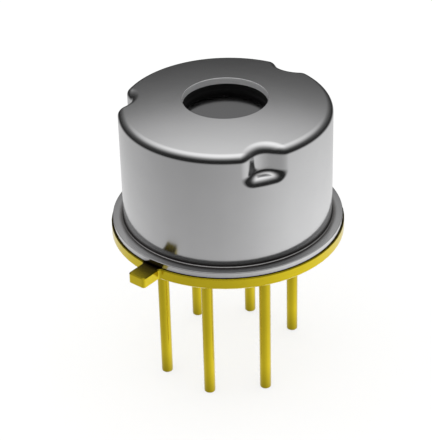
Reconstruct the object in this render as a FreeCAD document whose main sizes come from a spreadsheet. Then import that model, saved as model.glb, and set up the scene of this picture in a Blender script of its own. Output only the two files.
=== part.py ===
import FreeCAD, Part
import math
import os

import Sketcher

# Thermopile infrared sensor in a round metal can.
# The origin is the middle of the gold base's underside, +Z points out of the aperture,
# and +X points through the first of the two empty lead places.

SIZES = (
    ("cap_dia", 8.17, "outside of the can's wall"),
    ("cap_height", 5.222, "height of the can from its brim's underside to the middle of its crown"),
    ("crown_radius", 24.0, "radius of the can's slightly domed top"),
    ("sheet_thick", 0.25, "thickness of the can's sheet"),
    ("brim_width", 0.415, "how far the can's brim stands out of the wall"),
    ("flange_margin", 0.065, "how far the flange stands out of the brim"),
    ("flange_thick", 0.45, "thickness of the flange and its tab"),
    ("flange_edge", 0.04, "edge bevel of the flange and the tab"),
    ("deck_rise", 0.75, "height of the raised deck above the flange"),
    ("deck_gap", 0.12, "clearance between the deck and the can's bore"),
    ("weld_height", 0.03, "height of the welded ridge that carries the brim"),
    ("weld_width", 0.12, "width of the welded ridge"),
    ("weld_inset", 0.225, "middle of the ridge, inwards from the brim's edge"),
    ("tab_angle", 247.5, "direction of the orientation tab, degrees from +X"),
    ("tab_width", 0.78, "width of the tab"),
    ("tab_reach", 0.88, "how far the tab stands out of the flange"),
    ("tab_corner", 0.12, "rounding of the tab's outer corners and of its roots"),
    ("lead_dia", 0.45, "diameter of a lead"),
    ("lead_length", 6.02, "length of a lead below the base"),
    ("lead_tip", 0.05, "edge bevel of a lead's tip"),
    ("pin_inset", 0.795, "from the deck's edge inwards to the circle that the leads stand on"),
    ("lead_step", 45.0, "angle between neighbouring lead places"),
    ("post_rise", 0.35, "how far a sealed lead stands above the deck"),
    ("recess_dia", 0.90, "diameter of the ground lead's brazed recess"),
    ("recess_depth", 0.30, "depth of that recess in the base's underside"),
    ("seal_dia", 1.10, "diameter of a glass seal"),
    ("seal_setback", 0.03, "how far glass and braze end short of the metal's surface"),
    ("top_round", 0.32, "rounding of the can's rim and of the notches' edges"),
    ("brim_thick", 0.21, "thickness of the brim"),
    ("brim_edge", 0.04, "bevel of the brim's upper edge"),
    ("foot_bevel", 0.16, "bevel between the brim and the wall"),
    ("aperture_dia", 3.26, "diameter of the aperture"),
    ("notch_count", 3, "notches pressed into the can's shoulder"),
    ("notch_turn", 60.0, "angle from the tab to the first notch"),
    ("notch_depth", 0.44, "how far a notch reaches inwards from the wall"),
    ("notch_drop", 1.382, "from the middle of the crown down to a notch's floor"),
    ("punch_dia", 1.37, "diameter of the punch that presses a notch"),
    ("punch_nose", 0.10, "rounding of the punch's nose"),
    ("filter_lap", 0.46, "how far the square filter reaches past the aperture's edge"),
    ("filter_turn", 30.0, "angle from the first notch back to a side of the filter"),
    ("filter_thick", 0.50, "thickness of the filter"),
    ("bond_thick", 0.18, "thickness of the bond between can and filter, at its inner edge"),
    ("bond_width", 0.42, "width of that bond"),
    ("bond_inset", 0.01, "how far that bond stands back from the aperture's edge"),
    ("die_bond", 0.03, "thickness of the adhesive under a chip"),
    ("die_bond_margin", 0.06, "how far that adhesive stands out round a chip"),
    ("sensor_side", 1.80, "side of the thermopile chip"),
    ("sensor_thick", 0.40, "thickness of the thermopile chip"),
    ("membrane_side", 1.00, "side of the membrane"),
    ("membrane_thick", 0.015, "thickness of the membrane"),
    ("etch_angle", 35.3, "slope of the etched pit's walls, degrees from upright"),
    ("absorber_side", 0.60, "side of the black absorber"),
    ("absorber_thick", 0.010, "thickness of the absorber"),
    ("signal_inset", 0.62, "from the leads' circle inwards to the signal chip's middle, on +X"),
    ("signal_length", 1.30, "size of the signal chip along X"),
    ("signal_width", 1.50, "size of the signal chip along Y"),
    ("signal_thick", 0.30, "thickness of the signal chip"),
    ("thermistor_inset", 0.72, "from the leads' circle inwards to the thermistor's middle, on -X"),
    ("thermistor_side", 0.60, "side of the thermistor"),
    ("thermistor_thick", 0.30, "thickness of the thermistor"),
    ("wire_dia", 0.03, "diameter of a bond wire"),
    ("ball_dia", 0.09, "diameter of a ball bond"),
    ("ball_height", 0.02, "height of a ball bond"),
    ("loop_rise", 0.30, "height of a wire's loop above its higher end"),
    ("loop_bend", 0.10, "size of the bend at the top of a wire's loop"),
    ("stitch_length", 0.12, "length of a wire's flat end"),
    ("pad_inset", 0.15, "middle of a bonding pad, inwards from the chip's edge"),
    ("ground_reach", 0.35, "from the signal chip's edge to the wire's end on the deck"),
    ("overcut", 0.50, "how far a cutting shape runs past what it cuts"),
)

# Heights and radii that several pieces share, as expressions on the sheet.
DECK_TOP = "(sizes.flange_thick + sizes.deck_rise)"
CHIP_FLOOR = "(%s + sizes.die_bond)" % DECK_TOP
BRIM_BOTTOM = "(sizes.flange_thick + sizes.weld_height)"
BRIM_TOP = "(%s + sizes.brim_thick)" % BRIM_BOTTOM
CAP_TOP = "(%s + sizes.cap_height)" % BRIM_BOTTOM
CROWN_CENTRE = "(%s - sizes.crown_radius)" % CAP_TOP
CAP_RADIUS = "(sizes.cap_dia / 2)"
BORE_RADIUS = "(%s - sizes.sheet_thick)" % CAP_RADIUS
BRIM_RADIUS = "(%s + sizes.brim_width)" % CAP_RADIUS
FLANGE_RADIUS = "(%s + sizes.flange_margin)" % BRIM_RADIUS
DECK_RADIUS = "(%s - sizes.deck_gap)" % BORE_RADIUS
PIN_RADIUS = "(%s - sizes.pin_inset)" % DECK_RADIUS
SIGNAL_PLACE = "(%s - sizes.signal_inset)" % PIN_RADIUS
THERMISTOR_PLACE = "(%s - sizes.thermistor_inset)" % PIN_RADIUS
PUNCH_PLACE = "(%s - sizes.notch_depth + sizes.punch_dia / 2)" % CAP_RADIUS
APERTURE_RADIUS = "(sizes.aperture_dia / 2)"
BOND_INNER = "(%s + sizes.bond_inset)" % APERTURE_RADIUS
BOND_OUTER = "(%s + sizes.bond_width)" % BOND_INNER


def crown_height(radius, depth):
    """Height of the domed top at a distance from the axis, at a depth under its outside."""
    return "(%s + sqrt((sizes.crown_radius - %s) ^ 2 - %s ^ 2))" % (CROWN_CENTRE, depth, radius)


# The ceiling inside slopes evenly from the aperture down to the bore.
CEILING_HIGH = crown_height(APERTURE_RADIUS, "sizes.sheet_thick")
CEILING_LOW = crown_height(BORE_RADIUS, "sizes.sheet_thick")
CEILING_SLOPE = "((%s - %s) / (%s - %s))" % (CEILING_HIGH, CEILING_LOW, BORE_RADIUS, APERTURE_RADIUS)


def ceiling_height(radius):
    """Height of that ceiling at a distance from the axis."""
    return "(%s - %s * (%s - %s))" % (CEILING_HIGH, CEILING_SLOPE, radius, APERTURE_RADIUS)


FILTER_TOP = "(%s - sizes.bond_thick)" % ceiling_height(BOND_INNER)

# Lead places round the circle, in steps from +X. Places 0 and 4 are empty.
SEALED_PLACES = {"1": 1, "2": 2, "3": 3, "5": 6, "6": 7}
GROUND_LEAD = "4"
GROUND_PLACE = 5

# Sides of a bond wire's section and of its ball bond.
WIRE_SIDES = 6
BALL_SIDES = 8

# How a sketch names a curve's points.
START = 1
END = 2
CENTRE = 3

NEAR = 1e-4


def make_sheet(doc):
    sheet = doc.addObject("Spreadsheet::Sheet", "sizes")
    for row, (alias, number, note) in enumerate(SIZES, 1):
        sheet.set("A%d" % row, alias)
        sheet.set("B%d" % row, str(number))
        sheet.set("C%d" % row, note)
        sheet.setAlias("B%d" % row, alias)
    doc.recompute()
    return sheet


def worked_out(obj, expression):
    """The value of an expression on the sheet."""
    return float(obj.evalExpression(expression))


def bind(obj, **expressions):
    """Binds properties to expressions. Two underscores stand for a dot."""
    for name, expression in expressions.items():
        obj.setExpression(name.replace("__", "."), expression)


# Sketches


def new_body(doc, name):
    body = doc.addObject("PartDesign::Body", name)
    body.Label = name
    return body


def new_sketch(body, name, role):
    sketch = body.newObject("Sketcher::SketchObject", name)
    plane = next(item for item in body.Origin.OriginFeatures if item.Role == role)
    sketch.AttachmentSupport = (plane, [""])
    sketch.MapMode = "FlatFace"
    return sketch


def fix_point(sketch, geometry, position, place):
    """Ties a point of the sketch to a pair of expressions."""
    for kind, axis, expression in (("DistanceX", -2, place[0]), ("DistanceY", -1, place[1])):
        if expression == "0":
            sketch.addConstraint(Sketcher.Constraint("PointOnObject", geometry, position, axis))
            continue
        number = worked_out(sketch, expression)
        index = sketch.addConstraint(Sketcher.Constraint(kind, geometry, position, number))
        sketch.setExpression("Constraints[%d]" % index, expression)


def fix_radius(sketch, geometry, expression):
    number = worked_out(sketch, expression)
    index = sketch.addConstraint(Sketcher.Constraint("Radius", geometry, number))
    sketch.setExpression("Constraints[%d]" % index, expression)


def arc_between(start, end, radius):
    """An anticlockwise arc of the given radius from start to end, less than half a turn."""
    chord = end.sub(start)
    middle = start.add(end).multiply(0.5)
    side = FreeCAD.Vector(-chord.y, chord.x, 0).normalize()
    reach = math.sqrt(max(radius ** 2 - (chord.Length / 2) ** 2, 0))
    centre = middle.add(side.multiply(reach))
    angle_from = math.atan2(start.y - centre.y, start.x - centre.x)
    angle_to = math.atan2(end.y - centre.y, end.x - centre.x)
    circle = Part.Circle(centre, FreeCAD.Vector(0, 0, 1), radius)
    return Part.ArcOfCircle(circle, angle_from, angle_to)


def closed_outline(sketch, corners):
    """Draws a closed outline.

    Each corner is a pair of expressions. A corner with a third entry, a radius,
    starts an anticlockwise arc to the next corner, and the others start a line.
    """
    places = [FreeCAD.Vector(worked_out(sketch, c[0]), worked_out(sketch, c[1]), 0) for c in corners]
    first = sketch.GeometryCount
    for index, corner in enumerate(corners):
        start = places[index]
        end = places[(index + 1) % len(corners)]
        if len(corner) == 2:
            sketch.addGeometry(Part.LineSegment(start, end))
        else:
            sketch.addGeometry(arc_between(start, end, worked_out(sketch, corner[2])))
    for index, corner in enumerate(corners):
        after = (index + 1) % len(corners)
        joint = Sketcher.Constraint("Coincident", first + index, END, first + after, START)
        sketch.addConstraint(joint)
        fix_point(sketch, first + index, START, corner[:2])
        if len(corner) > 2:
            fix_radius(sketch, first + index, corner[2])


def circle_at(sketch, place, radius):
    centre = FreeCAD.Vector(worked_out(sketch, place[0]), worked_out(sketch, place[1]), 0)
    circle = Part.Circle(centre, FreeCAD.Vector(0, 0, 1), worked_out(sketch, radius))
    geometry = sketch.addGeometry(circle)
    fix_point(sketch, geometry, CENTRE, place)
    fix_radius(sketch, geometry, radius)


# Features


def revolve(body, sketch, name):
    feature = body.newObject("PartDesign::Revolution", name)
    feature.Profile = sketch
    feature.ReferenceAxis = (sketch, ["V_Axis"])
    feature.Angle = 360
    return feature


def pad(body, sketch, name, length):
    feature = body.newObject("PartDesign::Pad", name)
    feature.Profile = sketch
    bind(feature, Length=length)
    return feature


def dress_edges(body, kind, name, chosen, **size):
    """Adds a fillet or a chamfer on the edges of the body's tip that the given test picks."""
    body.Document.recompute()
    tip = body.Tip
    names = ["Edge%d" % n for n, edge in enumerate(tip.Shape.Edges, 1) if chosen(tip.Shape, edge)]
    feature = body.newObject("PartDesign::" + kind, name)
    feature.Base = (tip, names)
    bind(feature, **size)
    return feature


def must_cut(doc, before, feature):
    """Stops if a cutting feature took nothing away."""
    doc.recompute()
    if feature.Shape.Volume > before - NEAR:
        raise RuntimeError(feature.Name + " cuts nothing")


def along(edge):
    """Five points along an edge."""
    first, last = edge.ParameterRange
    return [edge.valueAt(first + (last - first) * step / 4) for step in range(5)]


def radius_of(point):
    return math.hypot(point.x, point.y)


def is_seam(shape, edge):
    return len(shape.ancestorsOfType(edge, Part.Face)) < 2


# The gold base


def lead_point(place):
    """Expressions for the middle of a lead place."""
    return (
        "%s * cos(%d * sizes.lead_step)" % (PIN_RADIUS, place),
        "%s * sin(%d * sizes.lead_step)" % (PIN_RADIUS, place),
    )


def make_header_base(doc):
    body = new_body(doc, "header_base")
    section = new_sketch(body, "base_section", "XZ_Plane")
    ridge = "(%s - sizes.weld_inset)" % BRIM_RADIUS
    closed_outline(section, [
        ("0", "0"),
        (FLANGE_RADIUS, "0"),
        (FLANGE_RADIUS, "sizes.flange_thick"),
        (ridge + " + sizes.weld_width / 2", "sizes.flange_thick"),
        (ridge + " + sizes.weld_width / 2", BRIM_BOTTOM),
        (ridge + " - sizes.weld_width / 2", BRIM_BOTTOM),
        (ridge + " - sizes.weld_width / 2", "sizes.flange_thick"),
        (DECK_RADIUS, "sizes.flange_thick"),
        (DECK_RADIUS, DECK_TOP),
        ("0", DECK_TOP),
    ])
    revolve(body, section, "base_form")
    add_tab(body)
    cut_lead_holes(doc, body)
    return body


def add_tab(body):
    sketch = new_sketch(body, "tab_outline", "XY_Plane")
    bind(sketch, AttachmentOffset__Rotation__Angle="sizes.tab_angle")
    root = FLANGE_RADIUS + " - sizes.overcut"
    end = "(%s + sizes.tab_reach)" % FLANGE_RADIUS
    side = "sizes.tab_width / 2"
    closed_outline(sketch, [
        (root, "-" + side),
        (end + " - sizes.tab_corner", "-" + side, "sizes.tab_corner"),
        (end, "-" + side + " + sizes.tab_corner"),
        (end, side + " - sizes.tab_corner", "sizes.tab_corner"),
        (end + " - sizes.tab_corner", side),
        (root, side),
    ])
    pad(body, sketch, "tab", "sizes.flange_thick")
    flange = worked_out(body, FLANGE_RADIUS)
    thick = worked_out(body, "sizes.flange_thick")

    def is_root(shape, edge):
        points = along(edge)
        upright = abs(points[0].z - points[-1].z) > thick / 2
        at_rim = all(abs(radius_of(p) - flange) < NEAR for p in points)
        return upright and at_rim and not is_seam(shape, edge)

    def is_outline(shape, edge):
        points = along(edge)
        outside = all(radius_of(p) > flange - NEAR for p in points)
        level = all(abs(p.z - points[0].z) < NEAR for p in points)
        return outside and level and not is_seam(shape, edge)

    dress_edges(body, "Fillet", "tab_roots", is_root, Radius="sizes.tab_corner")
    dress_edges(body, "Chamfer", "flange_edges", is_outline, Size="sizes.flange_edge")


def cut_lead_holes(doc, body):
    doc.recompute()
    before = body.Tip.Shape.Volume
    sketch = new_sketch(body, "seal_holes", "XY_Plane")
    for place in SEALED_PLACES.values():
        circle_at(sketch, lead_point(place), "sizes.seal_dia / 2")
    holes = body.newObject("PartDesign::Pocket", "seal_bores")
    holes.Profile = sketch
    holes.Type = "ThroughAll"
    holes.Reversed = True
    must_cut(doc, before, holes)
    before = holes.Shape.Volume
    sketch = new_sketch(body, "ground_recess_outline", "XY_Plane")
    circle_at(sketch, lead_point(GROUND_PLACE), "sizes.recess_dia / 2")
    recess = body.newObject("PartDesign::Pocket", "ground_recess")
    recess.Profile = sketch
    recess.Reversed = True
    bind(recess, Length="sizes.recess_depth")
    must_cut(doc, before, recess)


# Leads and glass seals


def place_at_lead(body, place, height):
    x, y = lead_point(place)
    bind(body, Placement__Base__x=x, Placement__Base__y=y, Placement__Base__z=height)


def make_lead(doc, number, place, inner_end):
    """A round lead from its tip to its inner end, seated level with the base's underside."""
    body = new_body(doc, "lead_" + number)
    end = "(sizes.lead_length + %s)" % inner_end
    section = new_sketch(body, "lead_section_" + number, "XZ_Plane")
    closed_outline(section, [
        ("0", "0"),
        ("sizes.lead_dia / 2 - sizes.lead_tip", "0"),
        ("sizes.lead_dia / 2", "sizes.lead_tip"),
        ("sizes.lead_dia / 2", "sizes.lead_length"),
        ("sizes.lead_dia / 2", end),
        ("0", end),
    ])
    form = revolve(body, section, "lead_form_" + number)
    form.Refine = False
    place_at_lead(body, place, "-sizes.lead_length")
    return body


def make_ring(doc, name, place, outer_dia, top):
    """A ring that fills a hole round a lead, set back from the base's underside."""
    body = new_body(doc, name)
    section = new_sketch(body, name + "_section", "XZ_Plane")
    closed_outline(section, [
        ("sizes.lead_dia / 2", "sizes.seal_setback"),
        (outer_dia + " / 2", "sizes.seal_setback"),
        (outer_dia + " / 2", top),
        ("sizes.lead_dia / 2", top),
    ])
    revolve(body, section, name + "_form")
    place_at_lead(body, place, "0")
    return body


# The can


def press_notches(doc, body, sheet_offset, nose_corners):
    """Cuts the punch's shape out of a turned form, once for each notch.

    The nose's corners are given as distances from the punch's side and its floor,
    with a radius where an arc starts.
    """
    doc.recompute()
    before = body.Tip.Shape.Volume
    near_side = "(%s - sizes.punch_dia / 2 - %s)" % (PUNCH_PLACE, sheet_offset)
    floor = "(%s - sizes.notch_drop - %s)" % (CAP_TOP, sheet_offset)
    top = CAP_TOP + " + sizes.overcut"
    sketch = new_sketch(body, body.Name + "_punch", "XZ_Plane")
    outline = [(PUNCH_PLACE, floor), (PUNCH_PLACE, top), (near_side, top)]
    for across, up, *radius in nose_corners:
        outline.append(("%s + %s" % (near_side, across), "%s + %s" % (floor, up), *radius))
    closed_outline(sketch, outline)
    sketch.toggleConstruction(sketch.addGeometry(sketch.Geometry[0]))
    groove = body.newObject("PartDesign::Groove", body.Name + "_notch")
    groove.Profile = sketch
    groove.ReferenceAxis = (sketch, ["Axis0"])
    groove.Angle = 360
    must_cut(doc, before, groove)
    pattern = body.newObject("PartDesign::PolarPattern", body.Name + "_notches")
    pattern.Originals = [groove]
    pattern.Axis = (sketch, ["V_Axis"])
    pattern.Angle = 360
    bind(pattern, Occurrences="sizes.notch_count")
    body.Tip = pattern
    must_cut(doc, groove.Shape.Volume, pattern)


def make_cap_outside(doc):
    """The can's domed form outside, with the notches and one rounding all round the rim."""
    body = new_body(doc, "cap_outside")
    section = new_sketch(body, "outside_section", "XZ_Plane")
    foot = BRIM_TOP + " + sizes.foot_bevel"
    closed_outline(section, [
        ("0", BRIM_BOTTOM),
        (BRIM_RADIUS, BRIM_BOTTOM),
        (BRIM_RADIUS, BRIM_TOP + " - sizes.brim_edge"),
        (BRIM_RADIUS + " - sizes.brim_edge", BRIM_TOP),
        (CAP_RADIUS + " + sizes.foot_bevel", BRIM_TOP),
        (CAP_RADIUS, foot),
        (CAP_RADIUS, crown_height(CAP_RADIUS, "0"), "sizes.crown_radius"),
        ("0", CAP_TOP),
    ])
    revolve(body, section, "outside_form")
    nose = "sizes.punch_nose"
    press_notches(doc, body, "0", [("0", nose, nose), (nose, "0")])
    wall = worked_out(body, CAP_RADIUS)
    crown = worked_out(body, "sizes.crown_radius")
    middle = FreeCAD.Vector(0, 0, worked_out(body, CROWN_CENTRE))
    lowest = worked_out(body, foot)

    def is_rim(shape, edge):
        points = along(edge)
        on_wall = all(abs(radius_of(p) - wall) < NEAR for p in points)
        on_crown = all(abs(p.distanceToPoint(middle) - crown) < NEAR for p in points)
        above_foot = all(p.z > lowest + NEAR for p in points)
        return (on_wall or on_crown) and above_foot and not is_seam(shape, edge)

    dress_edges(body, "Fillet", "outside_rim", is_rim, Radius="sizes.top_round")
    return body


def make_cap_inside(doc):
    """The room inside the can, with a bevelled mouth and the aperture above."""
    body = new_body(doc, "cap_inside")
    section = new_sketch(body, "inside_section", "XZ_Plane")
    mouth = BORE_RADIUS + " + sizes.sheet_thick"
    closed_outline(section, [
        ("0", "0"),
        (mouth, "0"),
        (mouth, BRIM_BOTTOM),
        (BORE_RADIUS, BRIM_BOTTOM + " + sizes.sheet_thick"),
        (BORE_RADIUS, CEILING_LOW),
        (APERTURE_RADIUS, CEILING_HIGH),
        (APERTURE_RADIUS, CAP_TOP + " + sizes.overcut"),
        ("0", CAP_TOP + " + sizes.overcut"),
    ])
    revolve(body, section, "inside_form")
    press_notches(doc, body, "sizes.sheet_thick", [("0", "sizes.sheet_thick"), ("sizes.sheet_thick", "0")])
    return body


def make_cap(doc):
    """A drawn can: the form outside, less the form inside, turned to the tab."""
    cap = doc.addObject("Part::Cut", "cap")
    cap.Label = "cap"
    cap.Base = make_cap_outside(doc)
    cap.Tool = make_cap_inside(doc)
    bind(cap, Placement__Rotation__Angle="sizes.tab_angle + sizes.notch_turn")
    return cap


# The filter and its bond


def make_filter_bond(doc):
    """A ring of adhesive that fills the gap between the flat filter and the domed sheet."""
    body = new_body(doc, "filter_bond")
    section = new_sketch(body, "bond_section", "XZ_Plane")
    closed_outline(section, [
        (BOND_INNER, FILTER_TOP),
        (BOND_OUTER, FILTER_TOP),
        (BOND_OUTER, ceiling_height(BOND_OUTER)),
        (BOND_INNER, ceiling_height(BOND_INNER)),
    ])
    revolve(body, section, "bond_ring")
    return body


def make_filter_window(doc):
    """A square filter, turned so that its corners stand clear of the notches."""
    body = new_body(doc, "filter_window")
    sketch = new_sketch(body, "filter_square", "XY_Plane")
    closed_outline(sketch, square_corners("(sizes.aperture_dia / 2 + sizes.filter_lap)"))
    pad(body, sketch, "filter_slab", "sizes.filter_thick")
    bind(
        body,
        Placement__Base__z=FILTER_TOP + " - sizes.filter_thick",
        Placement__Rotation__Angle="sizes.tab_angle + sizes.notch_turn - sizes.filter_turn",
    )
    return body


def square_corners(half):
    return [("-" + half, "-" + half), (half, "-" + half), (half, half), ("-" + half, half)]


# Chips on the deck


def make_block(doc, name, length, width, height, middle_x, bottom):
    """A box whose middle stands on the X axis."""
    box = doc.addObject("Part::Box", name)
    box.Label = name
    bind(box, Length=length, Width=width, Height=height)
    bind(
        box,
        Placement__Base__x="%s - (%s) / 2" % (middle_x, length),
        Placement__Base__y="-(%s) / 2" % width,
        Placement__Base__z=bottom,
    )
    return box


def make_die_bond(doc, name, length, width, middle_x):
    """The adhesive pad under a chip, a little larger than the chip."""
    grown_length = "%s + 2 * sizes.die_bond_margin" % length
    grown_width = "%s + 2 * sizes.die_bond_margin" % width
    return make_block(doc, name, grown_length, grown_width, "sizes.die_bond", middle_x, DECK_TOP)


def make_thermopile_chip(doc):
    """A silicon frame with a thin membrane over a pit that is etched from below."""
    body = new_body(doc, "thermopile_chip")
    square = new_sketch(body, "chip_square", "XY_Plane")
    closed_outline(square, square_corners("sizes.sensor_side / 2"))
    pad(body, square, "chip_slab", "sizes.sensor_thick")
    doc.recompute()
    before = body.Tip.Shape.Volume
    depth = "(sizes.sensor_thick - sizes.membrane_thick)"
    mouth = new_sketch(body, "pit_mouth", "XY_Plane")
    closed_outline(mouth, square_corners("(sizes.membrane_side / 2 + %s * tan(sizes.etch_angle))" % depth))
    pit = body.newObject("PartDesign::Pocket", "etched_pit")
    pit.Profile = mouth
    pit.Reversed = True
    bind(pit, Length=depth, TaperAngle="-sizes.etch_angle")
    must_cut(doc, before, pit)
    bind(body, Placement__Base__z=CHIP_FLOOR)
    return body


def make_chips(doc):
    """The three chips with their adhesive, and the absorber on the membrane."""
    signal = ("sizes.signal_length", "sizes.signal_width", SIGNAL_PLACE)
    thermistor = ("sizes.thermistor_side", "sizes.thermistor_side", "-" + THERMISTOR_PLACE)
    absorber = ("sizes.absorber_side", "sizes.absorber_side", "sizes.absorber_thick")
    sensor_top = CHIP_FLOOR + " + sizes.sensor_thick"
    return [
        make_thermopile_chip(doc),
        make_block(doc, "absorber", *absorber, "0", sensor_top),
        make_die_bond(doc, "thermopile_bond", "sizes.sensor_side", "sizes.sensor_side", "0"),
        make_block(doc, "signal_chip", *signal[:2], "sizes.signal_thick", signal[2], CHIP_FLOOR),
        make_die_bond(doc, "signal_bond", *signal),
        make_block(doc, "thermistor_chip", *thermistor[:2], "sizes.thermistor_thick", thermistor[2], CHIP_FLOOR),
        make_die_bond(doc, "thermistor_bond", *thermistor),
    ]


# Bond wires


def polygon_round(centre, radius, sides, level):
    """A level polygon with a flat side square to the given level direction."""
    across = FreeCAD.Vector(-level.y, level.x, 0)
    corners = []
    for index in range(sides + 1):
        angle = 2 * math.pi * (index + 0.5) / sides
        corners.append(centre + level * (radius * math.cos(angle)) + across * (radius * math.sin(angle)))
    return Part.makePolygon(corners)


def make_bond_wire(doc, name, start, end):
    """A wire with a ball bond at its start, a loop, and a flat stitch at its end."""
    feature = doc.addObject("Part::Feature", name)
    feature.Label = name
    size = {alias: worked_out(feature, "sizes." + alias) for alias in (
        "wire_dia", "ball_dia", "ball_height", "loop_rise", "loop_bend", "stitch_length")}
    radius = size["wire_dia"] / 2
    upwards = FreeCAD.Vector(0, 0, 1)
    level = FreeCAD.Vector(end.x - start.x, end.y - start.y, 0).normalize()
    loop_top = max(start.z, end.z) + size["loop_rise"]
    ball_top = start + upwards * size["ball_height"]
    knee = FreeCAD.Vector(start.x, start.y, loop_top - size["loop_bend"])
    shoulder = knee + (level + upwards) * size["loop_bend"]
    landing = end + upwards * (radius * math.cos(math.pi / WIRE_SIDES))
    heel = landing - level * size["stitch_length"]
    path = Part.makePolygon([ball_top, knee, shoulder, heel, landing])
    ring = polygon_round(ball_top, radius, WIRE_SIDES, level)
    tube = path.makePipeShell([ring], True, False, 1)
    ball = Part.Face(polygon_round(start, size["ball_dia"] / 2, BALL_SIDES, level))
    ball = ball.extrude(upwards * size["ball_height"])
    feature.Shape = ball.fuse(tube).removeSplitter()
    return feature


def make_bond_wires(doc, sheet):
    """Wires between the chips, and from the chips to the posts and the deck."""

    def at(x, y, z):
        return FreeCAD.Vector(worked_out(sheet, x), worked_out(sheet, y), worked_out(sheet, z))

    sensor_top = CHIP_FLOOR + " + sizes.sensor_thick"
    signal_top = CHIP_FLOOR + " + sizes.signal_thick"
    thermistor_top = CHIP_FLOOR + " + sizes.thermistor_thick"
    post_top = DECK_TOP + " + sizes.post_rise"
    sensor_pad = "sizes.sensor_side / 2 - sizes.pad_inset"
    signal_near = SIGNAL_PLACE + " - sizes.signal_length / 2 + sizes.pad_inset"
    signal_far = SIGNAL_PLACE + " + sizes.signal_length / 2 - sizes.pad_inset"
    signal_edge = "(sizes.signal_width / 2 - sizes.pad_inset)"
    deck_point = SIGNAL_PLACE + " + sizes.signal_length / 2 + sizes.ground_reach"

    def post(place):
        x, y = lead_point(place)
        return at(x, y, post_top)

    wires = []
    for name, side in (("positive", ""), ("negative", "-")):
        start = at(sensor_pad, side + signal_edge + " / 2", sensor_top)
        end = at(signal_near, side + signal_edge + " / 2", signal_top)
        wires.append(make_bond_wire(doc, "wire_thermopile_" + name, start, end))
    for number, x, side in (("1", SIGNAL_PLACE, ""), ("2", signal_near, ""),
                            ("6", SIGNAL_PLACE, "-"), ("5", signal_near, "-")):
        start = at(x, side + signal_edge, signal_top)
        wires.append(make_bond_wire(doc, "wire_lead_" + number, start, post(SEALED_PLACES[number])))
    start = at("-" + THERMISTOR_PLACE, "0", thermistor_top)
    wires.append(make_bond_wire(doc, "wire_lead_3", start, post(SEALED_PLACES["3"])))
    start = at(signal_far, "0", signal_top)
    wires.append(make_bond_wire(doc, "wire_ground", start, at(deck_point, "0", DECK_TOP)))
    return wires


# The whole sensor


def check(doc, pieces):
    for item in doc.Objects:
        if "Invalid" in item.State or "Error" in item.State:
            raise RuntimeError("%s failed: %s" % (item.Name, item.State))
    for piece in pieces:
        shape = piece.Shape
        if shape.isNull() or not shape.isValid() or len(shape.Solids) != 1:
            raise RuntimeError("%s is not one valid solid" % piece.Label)


def main():
    doc = FreeCAD.newDocument("thermopile_sensor")
    sheet = make_sheet(doc)
    pieces = [make_header_base(doc)]
    for number, place in SEALED_PLACES.items():
        pieces.append(make_lead(doc, number, place, "(%s + sizes.post_rise)" % DECK_TOP))
        glass_top = DECK_TOP + " - sizes.seal_setback"
        pieces.append(make_ring(doc, "glass_seal_" + number, place, "sizes.seal_dia", glass_top))
    pieces.append(make_lead(doc, GROUND_LEAD, GROUND_PLACE, "sizes.recess_depth"))
    pieces.append(make_ring(doc, "ground_braze", GROUND_PLACE, "sizes.recess_dia", "sizes.recess_depth"))
    pieces.append(make_cap(doc))
    pieces.append(make_filter_bond(doc))
    pieces.append(make_filter_window(doc))
    pieces.extend(make_chips(doc))
    pieces.extend(make_bond_wires(doc, sheet))
    doc.recompute()
    check(doc, pieces)
    os.makedirs("parts", exist_ok=True)
    for piece in pieces:
        piece.Shape.exportStep("parts/%s.step" % piece.Label)
        print(piece.Label, round(piece.Shape.Volume, 5))


main()
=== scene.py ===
import math

import bmesh
import bpy
import numpy as np
from mathutils import Matrix, Vector


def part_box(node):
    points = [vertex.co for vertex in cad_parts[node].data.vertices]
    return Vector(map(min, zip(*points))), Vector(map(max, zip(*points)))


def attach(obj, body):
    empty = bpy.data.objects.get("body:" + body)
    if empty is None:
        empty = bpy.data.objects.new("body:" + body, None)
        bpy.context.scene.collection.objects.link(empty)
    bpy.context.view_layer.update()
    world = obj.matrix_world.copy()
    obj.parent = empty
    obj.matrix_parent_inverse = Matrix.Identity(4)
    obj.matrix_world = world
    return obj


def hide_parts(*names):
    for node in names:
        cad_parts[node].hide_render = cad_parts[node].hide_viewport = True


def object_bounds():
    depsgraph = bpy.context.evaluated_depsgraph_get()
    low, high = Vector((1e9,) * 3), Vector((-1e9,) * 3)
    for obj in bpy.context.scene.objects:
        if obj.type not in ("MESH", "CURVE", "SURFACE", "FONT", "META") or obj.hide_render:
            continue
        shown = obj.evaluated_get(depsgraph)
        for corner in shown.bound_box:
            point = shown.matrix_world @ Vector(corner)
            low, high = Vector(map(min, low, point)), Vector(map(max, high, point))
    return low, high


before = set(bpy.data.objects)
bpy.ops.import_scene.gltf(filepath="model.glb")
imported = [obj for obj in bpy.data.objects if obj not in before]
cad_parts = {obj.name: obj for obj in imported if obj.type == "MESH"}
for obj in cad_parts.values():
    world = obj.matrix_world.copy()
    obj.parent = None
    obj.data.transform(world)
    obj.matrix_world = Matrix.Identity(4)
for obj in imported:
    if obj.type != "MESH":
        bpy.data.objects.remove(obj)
CAD_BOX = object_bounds()

bl_info = {
    "name": "Infrared sensor looks",
    "version": (1, 0, 0),
    "blender": (4, 5, 0),
    "location": "3D View > Sidebar > Sensor",
    "description": "Dresses the packed infrared sensor with metals, glass and a pale stage",
    "category": "Object",
}

MM = 0.001
SEALED = ("1", "2", "3", "5", "6")
WIRES = (
    "wire_lead_1", "wire_lead_2", "wire_lead_3", "wire_lead_5", "wire_lead_6",
    "wire_thermopile_positive", "wire_thermopile_negative", "wire_ground",
)
LEAD_STEP = math.pi / 4

# The sealed leads' places: after the third lead, an empty place and the ground lead's are passed over.
RING = {"Count": len(SEALED), "Step": LEAD_STEP, "First gap after": 2.5, "Places skipped": 2.0}

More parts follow.
